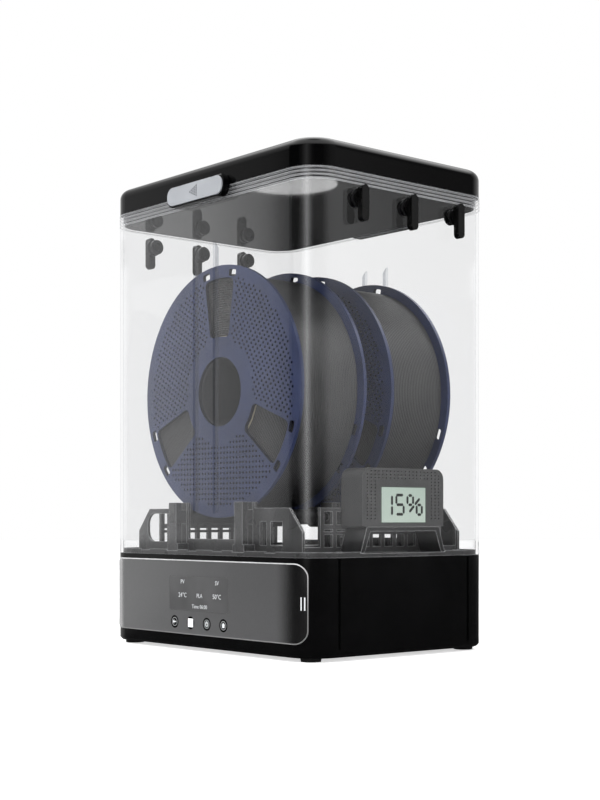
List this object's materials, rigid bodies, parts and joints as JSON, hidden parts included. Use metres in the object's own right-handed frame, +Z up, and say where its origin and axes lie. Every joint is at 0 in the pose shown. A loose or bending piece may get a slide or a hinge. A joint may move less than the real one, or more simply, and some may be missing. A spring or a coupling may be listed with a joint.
{
  "type": "filament dryer box",
  "caption": "Heated filament dryer box with a clear cover, latched lift-off lid, control panel, hygrometer and wound spools turning on rollers.",
  "frame": {"origin": "centre of the box on the plane that the feet stand on", "axes": "+Z up, -Y towards the control panel side, +X towards the hygrometer side"},
  "size_m": [0.2786, 0.207, 0.383],
  "materials": {
    "gloss_black": "glossy moulded plastic",
    "matte_black": "fine matte moulded plastic",
    "smoked_gloss": "glossy smoked panel",
    "rubber": "soft black rubber",
    "steel": "plain steel",
    "board": "green circuit board",
    "duct_grey": "heat-resistant grey plastic",
    "aluminium": "bare aluminium fins",
    "dark_grey": "satin dark grey plastic",
    "spool_blue": "satin indigo plastic",
    "filament_grey": "wound charcoal filament",
    "clear": "clear transparent plastic",
    "liner_grey": "satin dark grey plastic",
    "latch_silver": "translucent silver plastic",
    "screen_green": "reflective liquid crystal display"
  },
  "bodies": {
    "dryer": {"base_shell": "gloss_black", "base_floor": "matte_black", "rubber_feet": "rubber", "floor_screws": "steel", "side_panel_left": "gloss_black", "side_panel_right": "gloss_black", "front_fascia": "smoked_gloss", "display_window": "smoked_gloss", "display_module": "matte_black", "control_board": "board", "air_duct": "duct_grey", "fan_frame": "matte_black", "heater": "aluminium", "power_board": "board", "power_inlet": "matte_black", "deck": "dark_grey", "deck_screws": "steel", "cradle": "dark_grey", "cradle_screws": "steel", "axle_left": "steel", "axle_right": "steel", "cover": "clear", "port_bushings": "gloss_black", "hygrometer_stand": "dark_grey"},
    "button_back": {"button_back": "matte_black"},
    "button_stop": {"button_stop": "matte_black"},
    "button_power": {"button_power": "matte_black"},
    "button_home": {"button_home": "matte_black"},
    "fan_rotor": {"fan_rotor": "matte_black"},
    "roller_front_left": {"roller_front_left": "matte_black"},
    "roller_front_right": {"roller_front_right": "matte_black"},
    "roller_rear_left": {"roller_rear_left": "matte_black"},
    "roller_rear_right": {"roller_rear_right": "matte_black"},
    "spool_front": {"spool_front": "spool_blue", "filament_front": "filament_grey"},
    "spool_rear": {"spool_rear": "spool_blue", "filament_rear": "filament_grey"},
    "lid": {"lid": "gloss_black", "lid_liner": "liner_grey", "lid_gasket": "rubber", "latch_pins": "steel"},
    "latch_front": {"latch_front": "matte_black", "latch_front_face": "latch_silver"},
    "latch_rear": {"latch_rear": "matte_black", "latch_rear_face": "latch_silver"},
    "hygrometer": {"hygrometer_case": "dark_grey", "hygrometer_body": "matte_black", "hygrometer_screen": "screen_green", "coin_cell": "steel"},
    "plug_left_front": {"plug_left_front": "rubber"},
    "plug_left_middle": {"plug_left_middle": "rubber"},
    "plug_left_rear": {"plug_left_rear": "rubber"},
    "plug_right_front": {"plug_right_front": "rubber"},
    "plug_right_middle": {"plug_right_middle": "rubber"},
    "plug_right_rear": {"plug_right_rear": "rubber"}
  },
  "joints": [
    {"name": "button_back_press", "type": "slide", "parent": "dryer", "child": "button_back", "axis": [0, 1, 0], "range_m": [0, 0.001], "stiffness_N_per_m": 400},
    {"name": "button_stop_press", "type": "slide", "parent": "dryer", "child": "button_stop", "axis": [0, 1, 0], "range_m": [0, 0.001], "stiffness_N_per_m": 400},
    {"name": "button_power_press", "type": "slide", "parent": "dryer", "child": "button_power", "axis": [0, 1, 0], "range_m": [0, 0.001], "stiffness_N_per_m": 400},
    {"name": "button_home_press", "type": "slide", "parent": "dryer", "child": "button_home", "axis": [0, 1, 0], "range_m": [0, 0.001], "stiffness_N_per_m": 400},
    {"name": "fan_spin", "type": "hinge", "parent": "dryer", "child": "fan_rotor", "pos_m": [0, 0.008, 0.03], "axis": [0, 0, 1], "continuous": true},
    {"name": "spool_front_spin", "type": "hinge", "parent": "dryer", "child": "spool_front", "pos_m": [0, -0.045, 0.20549], "axis": [0, 1, 0], "continuous": true},
    {"name": "spool_rear_spin", "type": "hinge", "parent": "dryer", "child": "spool_rear", "pos_m": [0, 0.0478, 0.20549], "axis": [0, 1, 0], "continuous": true},
    {"name": "roller_front_left_spin", "type": "hinge", "parent": "dryer", "child": "roller_front_left", "pos_m": [-0.043, -0.045, 0.1062], "axis": [0, 1, 0], "continuous": true},
    {"name": "roller_front_right_spin", "type": "hinge", "parent": "dryer", "child": "roller_front_right", "pos_m": [0.043, -0.045, 0.1062], "axis": [0, 1, 0], "continuous": true},
    {"name": "roller_rear_left_spin", "type": "hinge", "parent": "dryer", "child": "roller_rear_left", "pos_m": [-0.043, 0.0478, 0.1062], "axis": [0, 1, 0], "continuous": true},
    {"name": "roller_rear_right_spin", "type": "hinge", "parent": "dryer", "child": "roller_rear_right", "pos_m": [0.043, 0.0478, 0.1062], "axis": [0, 1, 0], "continuous": true},
    {"name": "plug_left_front_pull", "type": "slide", "parent": "dryer", "child": "plug_left_front", "axis": [-1, 0, 0], "range_m": [0, 0.025]},
    {"name": "plug_left_middle_pull", "type": "slide", "parent": "dryer", "child": "plug_left_middle", "axis": [-1, 0, 0], "range_m": [0, 0.025]},
    {"name": "plug_left_rear_pull", "type": "slide", "parent": "dryer", "child": "plug_left_rear", "axis": [-1, 0, 0], "range_m": [0, 0.025]},
    {"name": "plug_right_front_pull", "type": "slide", "parent": "dryer", "child": "plug_right_front", "axis": [1, 0, 0], "range_m": [0, 0.025]},
    {"name": "plug_right_middle_pull", "type": "slide", "parent": "dryer", "child": "plug_right_middle", "axis": [1, 0, 0], "range_m": [0, 0.025]},
    {"name": "plug_right_rear_pull", "type": "slide", "parent": "dryer", "child": "plug_right_rear", "axis": [1, 0, 0], "range_m": [0, 0.025]},
    {"name": "lid_lift", "type": "slide", "parent": "dryer", "child": "lid", "axis": [0, 0, 1], "range_m": [0, 0.06]},
    {"name": "latch_front_swing", "type": "hinge", "parent": "lid", "child": "latch_front", "pos_m": [0, -0.0995, 0.367], "axis": [-1, 0, 0], "range_deg": [0, 75]},
    {"name": "latch_rear_swing", "type": "hinge", "parent": "lid", "child": "latch_rear", "pos_m": [0, 0.0995, 0.367], "axis": [1, 0, 0], "range_deg": [0, 75]},
    {"name": "hygrometer_lift", "type": "slide", "parent": "dryer", "child": "hygrometer", "axis": [0, 0, 1], "range_m": [0, 0.1]}
  ],
  "couplings": [
    {"joint": "roller_front_left_spin", "follows": "spool_front_spin", "ratio": -12.5},
    {"joint": "roller_front_right_spin", "follows": "spool_front_spin", "ratio": -12.5},
    {"joint": "roller_rear_left_spin", "follows": "spool_rear_spin", "ratio": -12.5},
    {"joint": "roller_rear_right_spin", "follows": "spool_rear_spin", "ratio": -12.5}
  ]
}
